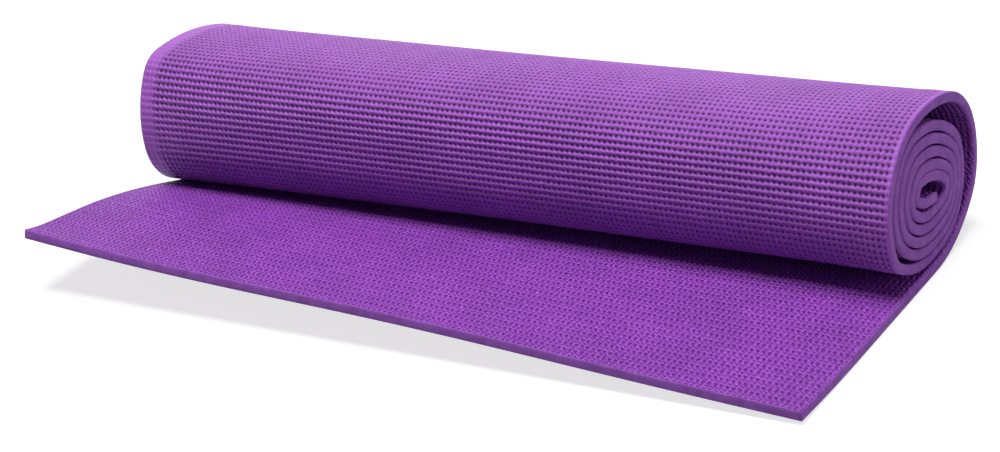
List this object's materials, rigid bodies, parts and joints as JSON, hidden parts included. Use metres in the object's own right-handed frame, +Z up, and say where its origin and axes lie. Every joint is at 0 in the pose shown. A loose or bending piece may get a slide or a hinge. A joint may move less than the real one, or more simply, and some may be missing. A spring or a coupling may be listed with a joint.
{
  "type": "rolled exercise mat",
  "caption": "Foam exercise mat lying partly rolled: a loose spiral roll on its own free end, which folds up along a line in front of the roll.",
  "frame": {"origin": "on the floor under the middle of the whole mat", "axes": "+X along the roll, +Y along the sheet from its free edge to the roll, +Z up"},
  "size_m": [0.61, 0.2898, 0.122],
  "materials": {
    "foam_top": "matt embossed closed-cell foam",
    "foam_bottom": "matt embossed closed-cell foam, coarse grid",
    "scrim": "thin polyester net"
  },
  "bodies": {
    "roll": {"rolled_top_foam": "foam_top", "rolled_scrim": "scrim", "rolled_bottom_foam": "foam_bottom"},
    "free_end": {"free_end_top_foam": "foam_top", "free_end_scrim": "scrim", "free_end_bottom_foam": "foam_bottom"}
  },
  "joints": [
    {"name": "free_end_lift", "type": "hinge", "parent": "roll", "child": "free_end", "pos_m": [0, -0.00815, 0.01585], "axis": [-0.9997, 0.0037, 0.0253], "range_deg": [0, 62]}
  ]
}
